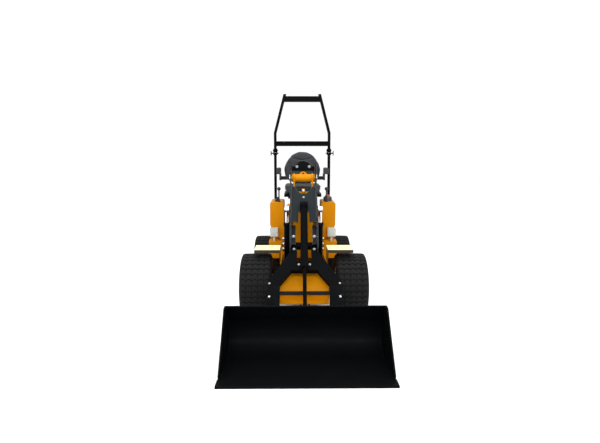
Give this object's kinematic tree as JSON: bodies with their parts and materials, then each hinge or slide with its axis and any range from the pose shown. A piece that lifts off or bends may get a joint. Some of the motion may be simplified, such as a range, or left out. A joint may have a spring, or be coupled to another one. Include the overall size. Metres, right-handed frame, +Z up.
{
  "type": "mini loader",
  "caption": "Compact ride-on wheel loader with a central lift boom, front bucket on a coupler, tilt and lift cylinders, seat, folding roll bar and rear engine hood.",
  "frame": {"origin": "on the floor, at the middle of the machine's outline", "axes": "+Z up, -Y the way the bucket points, +X to the right seen from the front"},
  "size_m": [1.19, 2.9, 2.139],
  "materials": {
    "yellow_paint": "gloss yellow-orange paint",
    "black_paint": "satin black paint",
    "tyre_rubber": "matte rubber",
    "rim_paint": "silver paint",
    "bare_steel": "bare steel",
    "rod_chrome": "hard chrome",
    "seat_vinyl": "grained black vinyl",
    "black_plastic": "moulded plastic",
    "lamp_grey": "cast lamp housing",
    "engine_iron": "cast metal"
  },
  "bodies": {
    "chassis": {"chassis_frame": "yellow_paint", "belly_plate": "black_paint", "nose_cover": "yellow_paint", "nose_strip": "black_plastic", "cross_box": "yellow_paint", "boom_tower": "yellow_paint", "boom_pivot_pin": "bare_steel", "footplates": "yellow_paint", "consoles": "yellow_paint", "filler_cap": "black_plastic", "breather": "black_plastic", "work_lamps": "lamp_grey", "control_levers": "black_plastic", "valve_block": "bare_steel", "axles": "black_paint", "seat_pedestal": "black_paint", "seat_cushion": "seat_vinyl", "seat_back": "seat_vinyl", "seat_frame": "black_paint", "armrests": "black_plastic", "rollbar_posts": "black_paint", "engine_block": "engine_iron", "exhaust": "engine_iron", "rear_bumper": "black_paint"},
    "boom": {"boom_beam": "black_paint", "boom_fork": "black_paint", "tilt_clevis": "black_paint"},
    "lift_barrels": {"lift_barrels": "black_paint"},
    "lift_rods": {"lift_rods": "rod_chrome"},
    "tilt_barrel": {"tilt_barrel": "black_paint"},
    "tilt_rod": {"tilt_rod": "rod_chrome"},
    "bucket": {"coupler": "black_paint", "coupler_pins": "bare_steel", "bucket": "black_paint", "cutting_edge": "bare_steel"},
    "rollbar": {"rollbar_hoop": "black_paint"},
    "hood": {"engine_hood": "yellow_paint"},
    "front_left_wheel": {"front_left_tyre": "tyre_rubber", "front_left_rim": "rim_paint"},
    "front_right_wheel": {"front_right_tyre": "tyre_rubber", "front_right_rim": "rim_paint"},
    "rear_left_wheel": {"rear_left_tyre": "tyre_rubber", "rear_left_rim": "rim_paint"},
    "rear_right_wheel": {"rear_right_tyre": "tyre_rubber", "rear_right_rim": "rim_paint"}
  },
  "joints": [
    {"name": "front_left_spin", "type": "hinge", "parent": "chassis", "child": "front_left_wheel", "pos_m": [-0.43, -0.094, 0.292], "axis": [1, 0, 0], "continuous": true},
    {"name": "front_right_spin", "type": "hinge", "parent": "chassis", "child": "front_right_wheel", "pos_m": [0.43, -0.094, 0.292], "axis": [1, 0, 0], "continuous": true},
    {"name": "rear_left_spin", "type": "hinge", "parent": "chassis", "child": "rear_left_wheel", "pos_m": [-0.385, 0.85, 0.292], "axis": [1, 0, 0], "continuous": true},
    {"name": "rear_right_spin", "type": "hinge", "parent": "chassis", "child": "rear_right_wheel", "pos_m": [0.385, 0.85, 0.292], "axis": [1, 0, 0], "continuous": true},
    {"name": "boom_lift", "type": "hinge", "parent": "chassis", "child": "boom", "pos_m": [0, 0.21, 1.265], "axis": [-1, 0, 0], "range_deg": [0, 75]},
    {"name": "bucket_tilt", "type": "hinge", "parent": "boom", "child": "bucket", "pos_m": [0, -0.66, 0.17], "axis": [1, 0, 0], "range_deg": [-35, 95]},
    {"name": "lift_barrel_swing", "type": "hinge", "parent": "chassis", "child": "lift_barrels", "pos_m": [0, 0.12, 0.3], "axis": [1, 0, 0], "range_deg": [-5, 5]},
    {"name": "lift_rod_slide", "type": "slide", "parent": "lift_barrels", "child": "lift_rods", "axis": [0, -0.201, 0.9796], "range_m": [0, 0.46]},
    {"name": "tilt_barrel_swing", "type": "hinge", "parent": "boom", "child": "tilt_barrel", "pos_m": [0, -0.155, 1.047], "axis": [1, 0, 0], "range_deg": [-5, 5]},
    {"name": "tilt_rod_slide", "type": "slide", "parent": "tilt_barrel", "child": "tilt_rod", "axis": [0, -0.5855, -0.8107], "range_m": [-0.08, 0.2]},
    {"name": "rollbar_fold", "type": "hinge", "parent": "chassis", "child": "rollbar", "pos_m": [0, 0.912, 1.535], "axis": [-1, 0, 0], "range_deg": [0, 110]},
    {"name": "hood_open", "type": "hinge", "parent": "chassis", "child": "hood", "pos_m": [0, 1.339, 0.509], "axis": [-1, 0, 0], "range_deg": [0, 60]}
  ],
  "couplings": [
    {"joint": "lift_barrel_swing", "follows": "boom_lift", "ratio": 0.004636},
    {"joint": "lift_rod_slide", "follows": "boom_lift", "m_per_rad": 0.33482},
    {"joint": "tilt_barrel_swing", "follows": "bucket_tilt", "ratio": 0.0144},
    {"joint": "tilt_rod_slide", "follows": "bucket_tilt", "m_per_rad": 0.1}
  ]
}
